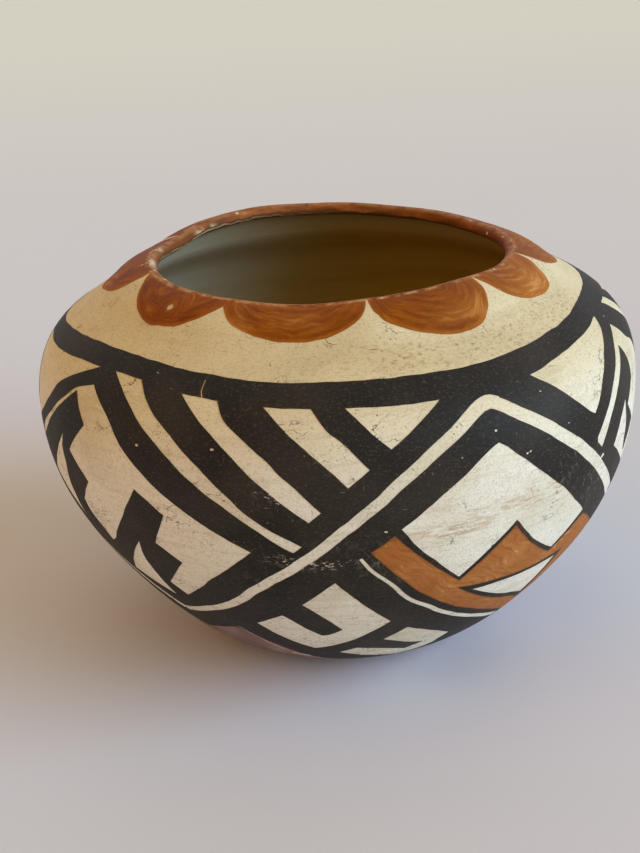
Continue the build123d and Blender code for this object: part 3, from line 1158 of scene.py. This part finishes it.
# %% Orange finish
def orange_finish(name, lane, deep, middle, light):
    """Burnt orange whose streaks follow a lane: across the stroke in X and along it in Y."""
    finish, shader = start_finish(name, 0.6, 0.12)
    streak = grain(finish, lane(finish), 1, 4, 0.6)
    patch = grain(finish, on_jar(finish), 80, 4)
    wet = between(finish, patch, 0.38, 0.60, 0.25, 1)
    burnt = mixed(finish, between(finish, streak, 0.30, 0.60), deep, middle)
    lit = combined(finish, between(finish, streak, 0.57, 0.78), wet)
    burnt = mixed(finish, lit, burnt, light)
    burnt = mixed(finish, between(finish, patch, 0.62, 0.44, 0, 0.5), burnt, deep)
    pits = flecks(finish, on_jar(finish, (900, 900, 900)), 0.28, 0.02)
    burnt = mixed(finish, combined(finish, pits, 0.6), burnt, tint(214, 184, 140))
    return finish, shader, burnt, streak


def outline_lane(finish):
    """Streaks that roughly follow the outline of the figure."""
    places = remembered(finish, "drawn_at", "Vector")
    waver = combined(finish, grain(finish, places, 0.20, 3), 2.2)
    across = combined(finish, combined(finish, remembered(finish, "inset"), 0.75), waver, "ADD")
    round_jar = add_node(finish, "ShaderNodeSeparateXYZ", {"Vector": places}).outputs["X"]
    along_it = combined(finish, round_jar, 0.10)
    return add_node(finish, "ShaderNodeCombineXYZ", {"X": across, "Y": along_it}).outputs[0]


petal, petal_shader, petal_colour, petal_streak = orange_finish(
    "orange petals", outline_lane, tint(116, 54, 2), tint(156, 84, 4), tint(206, 138, 54)
)
edge_light = between(petal, remembered(petal, "inset"), 1.3, 0.2, 0, 0.35)
petal_colour = mixed(petal, edge_light, petal_colour, tint(190, 116, 36))
thin = remembered(petal, "thin")
petal_colour = mixed(petal, combined(petal, thin, 0.5), petal_colour, tint(204, 132, 56))
thin = combined(petal, thin, between(petal, petal_streak, 0.46, 0.70))
petal_colour = mixed(petal, combined(petal, thin, 0.55), petal_colour, tint(228, 174, 104))
sheet_place = remembered(petal, "drawn_at", "Vector")
run = add_node(petal, "ShaderNodeSeparateXYZ", {"Vector": sheet_place}).outputs["Y"]
crest_wear = between(petal, run, top_edge - 1.3, top_edge - 0.4)
rubbed = between(petal, grain(petal, on_jar(petal), 330, 4), 0.42, 0.62)
rubbed = combined(petal, combined(petal, crest_wear, rubbed), 0.65)
petal_colour = mixed(petal, rubbed, petal_colour, tint(206, 162, 112))
chips = combined(petal, flecks(petal, on_jar(petal, (900, 900, 900)), 0.36, 0.12), crest_wear)
petal_colour = mixed(petal, chips, petal_colour, tint(232, 218, 190))
colour_with(petal, petal_shader, petal_colour, petal_streak, 0.05)
wear(petal, films["petal"])


def sweep_lane(finish):
    """Short strokes of the brush that sweep this way and that."""
    places = remembered(finish, "drawn_at", "Vector")
    swirl = add_node(finish, "ShaderNodeTexNoise", {"Vector": places, "Scale": 0.10, "Detail": 2.0})
    values = {0: swirl.outputs["Color"], 1: (9, 9, 0)}
    bend = add_node(finish, "ShaderNodeVectorMath", values, operation="MULTIPLY")
    values = {0: places, 1: bend.outputs[0]}
    bent = add_node(finish, "ShaderNodeVectorMath", values, operation="ADD")
    values = {"Vector": bent.outputs[0], "Rotation": (0, 0, 0.7)}
    slant = add_node(finish, "ShaderNodeMapping", values)
    values = {"Vector": slant.outputs["Vector"], "Scale": (0.22, 1.1, 1)}
    return add_node(finish, "ShaderNodeMapping", values).outputs["Vector"]


wash, wash_shader, wash_colour, wash_streak = orange_finish(
    "orange wash", sweep_lane, tint(158, 92, 40), tint(184, 120, 62), tint(222, 176, 120)
)
edge_dark = between(wash, remembered(wash, "inset"), 0.7, 0.0, 0, 0.6)
wash_colour = mixed(wash, edge_dark, wash_colour, tint(116, 66, 30))
colour_with(wash, wash_shader, wash_colour, wash_streak, 0.06)
wear(wash, films["orange"])
print("orange petals:", len(petal.node_tree.nodes), "nodes")

# %% [markdown]
# The lip: the same orange, rubbed pale along its crest and dark and ragged where it ends inside. The
# ragged end is the slip's own, and the dark along it is partly painted shade, where the lip turns down
# into the jar. At the left of the back a pale line of bare slip shows under the torn edge.

# %% Lip finish
def round_lane(finish):
    """Streaks that run round the lip."""
    return on_jar(finish, (150, 150, 600))


lip, lip_shader, lip_colour, lip_streak = orange_finish(
    "orange lip", round_lane, tint(112, 60, 26), tint(156, 90, 42), tint(194, 132, 78)
)
rub = grain(lip, on_jar(lip), 260, 4)
worn = combined(lip, remembered(lip, "crest"), between(lip, rub, 0.38, 0.58))
lip_colour = mixed(lip, combined(lip, worn, 0.5), lip_colour, tint(190, 146, 100))
patches = between(lip, grain(lip, on_jar(lip), 420, 5), 0.40, 0.52)
patches = combined(lip, remembered(lip, "rubbed"), patches)
chips = flecks(lip, on_jar(lip, (620, 620, 620)), 0.34, 0.04)
chips = combined(lip, chips, patches, "MAXIMUM")
lip_colour = mixed(lip, combined(lip, chips, 0.9), lip_colour, tint(226, 210, 176))
tear = grain(lip, on_jar(lip, (1, 1, 0.5)), 170, 6, 0.65)
tear = combined(lip, combined(lip, tear, 0.5, "SUBTRACT"), 2.4)
torn = combined(lip, remembered(lip, "ragged_edge_and_shade"), tear, "ADD")
# Painted shade: the dark band along the lip's ragged inner edge, partly the slip's end, partly shade.
lip_colour = mixed(lip, between(lip, torn, 0.60, 0.40), lip_colour, tint(100, 64, 30))
slip_edge = combined(lip, between(lip, torn, 0.22, 0.14), between(lip, torn, -0.22, -0.06))
slip_edge = combined(lip, slip_edge, remembered(lip, "torn"))
lip_colour = mixed(lip, combined(lip, slip_edge, 0.7), lip_colour, tint(184, 164, 122))
colour_with(lip, lip_shader, lip_colour, lip_streak, 0.2)
wear(lip, lip_coat)
print("lip:", len(lip.node_tree.nodes), "nodes")

# %% [markdown]
# Red slip below, dusty from standing, and the bare clay inside, wiped round with a rag. The inside also
# carries painted light and shade. It is painted grey on the left wall and near the lip, where daylight
# falls in through the mouth. Lower down it is a deep brown, partly the clay's own colour and partly
# painted shade.

# %% Red slip and clay finishes
red, red_shader = start_finish("red slip", 0.65, 0.2)
dust = grain(red, on_jar(red), 60, 5)
earth = mixed(red, between(red, dust, 0.35, 0.7), tint(130, 102, 94), tint(176, 150, 142))
colour_with(red, red_shader, earth, grain(red, on_jar(red), 300, 4), 0.12)
wear(red, red_coat, films["red"])

bare, bare_shader = start_finish("bare clay", 0.75, 0.2)
wipe = grain(bare, on_jar(bare, (20, 20, 150)), 1, 5)
# The saturated brown is partly the clay's own colour and partly painted shade deep inside the jar.
clay_with_painted_light = mixed(bare, between(bare, wipe, 0.3, 0.7), tint(172, 138, 34), tint(190, 156, 54))
places = add_node(bare, "ShaderNodeSeparateXYZ", {"Vector": on_jar(bare)})
# Painted light: grey where daylight falls through the mouth, on the left inner wall and near the lip.
painted_daylight_grey = between(bare, places.outputs["X"], 25 * mm, -40 * mm, 0.12, 1)
painted_daylight_grey = combined(bare, painted_daylight_grey, between(bare, places.outputs["Z"], 40 * mm, 82 * mm))
painted_daylight_grey = combined(bare, painted_daylight_grey, between(bare, places.outputs["Z"], 85 * mm, 96 * mm, 0, 0.75), "MAXIMUM")
painted_daylight_grey = combined(bare, painted_daylight_grey, between(bare, wipe, 0.25, 0.6, 0.75, 1))
clay_with_painted_light = mixed(bare, combined(bare, painted_daylight_grey, 0.9), clay_with_painted_light, tint(178, 178, 160))
colour_with(bare, bare_shader, clay_with_painted_light, wipe, 0.35)
wear(bare, *clay)
print("bare clay:", len(bare.node_tree.nodes), "nodes")

# %% [markdown]
# The board is pale and nearly smooth. It is painted a little lighter and warmer far away than near:
# painted light, as if the far board were more brightly lit.

# %% Board finish
pale, pale_shader = start_finish("pale board", 0.75, 0.15)
depth = add_node(pale, "ShaderNodeSeparateXYZ", {"Vector": on_jar(pale)}).outputs["Y"]
near = mixed(pale, grain(pale, on_jar(pale), 9, 3), tint(221, 226, 240), tint(225, 230, 243))
# Painted light: the far part of the board is made lighter, as if more brightly lit.
board_lit_far_away = mixed(pale, between(pale, depth, 0.1, 1.2), near, tint(235, 242, 238))
colour_with(pale, pale_shader, board_lit_far_away, grain(pale, on_jar(pale), 400, 2), 0.02)
wear(pale, board)
print("board:", len(pale.node_tree.nodes), "nodes")
